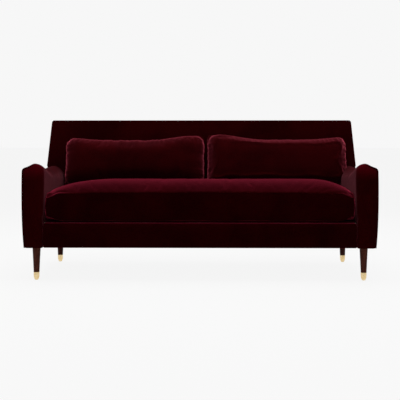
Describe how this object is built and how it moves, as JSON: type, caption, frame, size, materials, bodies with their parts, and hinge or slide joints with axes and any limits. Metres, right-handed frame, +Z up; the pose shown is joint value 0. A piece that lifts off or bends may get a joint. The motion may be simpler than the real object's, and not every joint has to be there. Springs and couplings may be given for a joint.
{
  "type": "tuxedo sofa",
  "caption": "Low velvet sofa with slim padded arms, a flat reclined back, a bench seat cushion, lumbar cushions and tapered legs with brass bullet ferrules.",
  "frame": {"origin": "on the floor, below the middle of the whole sofa", "axes": "+X to the right as one faces the sofa, +Y to the rear, +Z up"},
  "size_m": [1.912, 0.88, 0.8812],
  "materials": {
    "beech": "sawn, unfinished",
    "plywood": "sawn, unfinished",
    "webbing": "woven elastic webbing",
    "spring_steel": "drawn wire and pressed plate",
    "felt": "needled felt",
    "foam": "upholstery foam and fibre",
    "deck_cloth": "cotton velvet",
    "velvet": "cut-pile cotton velvet",
    "velvet_piping": "velvet over cord",
    "lining": "thin non-woven cloth",
    "zip_tape": "woven tape with nylon teeth",
    "zip_metal": "plated",
    "walnut": "stained, satin lacquer",
    "brass": "brushed, lacquered",
    "nylon": "moulded"
  },
  "bodies": {
    "frame": {"front_seat_rail": "beech", "spring_rail": "beech", "side_rail_left": "beech", "side_rail_right": "beech", "rear_base_rail": "beech", "seat_stretchers": "beech", "corner_blocks": "beech", "arm_top_rail_left": "beech", "arm_top_rail_right": "beech", "back_post_left": "beech", "back_post_right": "beech", "back_top_board": "beech", "back_upper_rail": "beech", "back_lower_rail": "beech", "back_upright": "beech", "arm_panel_left": "plywood", "arm_panel_right": "plywood", "back_webbing": "webbing", "springs_left": "spring_steel", "springs_middle": "spring_steel", "springs_right": "spring_steel", "spring_clips": "spring_steel", "spring_ties": "spring_steel", "leg_plates": "spring_steel", "leg_bolts": "spring_steel", "deck_felt": "felt", "deck_foam": "foam", "arm_foam_left": "foam", "arm_foam_right": "foam", "back_foam": "foam", "border_foam": "foam", "deck_cover": "deck_cloth", "arm_cover_left": "velvet", "arm_cover_right": "velvet", "inside_back_cover": "velvet", "outside_back_cover": "velvet", "border_cover": "velvet", "back_welt": "velvet_piping", "arm_welt_left": "velvet_piping", "arm_welt_right": "velvet_piping", "dust_cover": "lining", "leg_front_left": "walnut", "leg_front_right": "walnut", "leg_rear_left": "walnut", "leg_rear_right": "walnut", "ferrules": "brass", "glides": "nylon"},
    "seat_cushion": {"seat_cushion_cover": "velvet", "seat_cushion_core": "foam", "seat_zip": "zip_tape"},
    "lumbar_left": {"lumbar_cover_left": "velvet", "lumbar_insert_left": "foam", "lumbar_zip_left": "zip_tape"},
    "lumbar_right": {"lumbar_cover_right": "velvet", "lumbar_insert_right": "foam", "lumbar_zip_right": "zip_tape"},
    "seat_slider": {"seat_zip_slider": "zip_metal"},
    "lumbar_slider_left": {"lumbar_zip_slider_left": "zip_metal"},
    "lumbar_slider_right": {"lumbar_zip_slider_right": "zip_metal"}
  },
  "joints": [
    {"name": "seat_cushion_lift", "type": "slide", "parent": "frame", "child": "seat_cushion", "axis": [0, 0, 1], "range_m": [0, 0.45]},
    {"name": "lumbar_left_lift", "type": "slide", "parent": "seat_cushion", "child": "lumbar_left", "axis": [0, 0, 1], "range_m": [0, 0.5]},
    {"name": "lumbar_right_lift", "type": "slide", "parent": "seat_cushion", "child": "lumbar_right", "axis": [0, 0, 1], "range_m": [0, 0.5]},
    {"name": "seat_zip_pull", "type": "slide", "parent": "seat_cushion", "child": "seat_slider", "axis": [1, 0, 0], "range_m": [0, 1.36]},
    {"name": "lumbar_left_zip_pull", "type": "slide", "parent": "lumbar_left", "child": "lumbar_slider_left", "axis": [1, 0, 0], "range_m": [0, 0.44]},
    {"name": "lumbar_right_zip_pull", "type": "slide", "parent": "lumbar_right", "child": "lumbar_slider_right", "axis": [1, 0, 0], "range_m": [0, 0.44]}
  ]
}
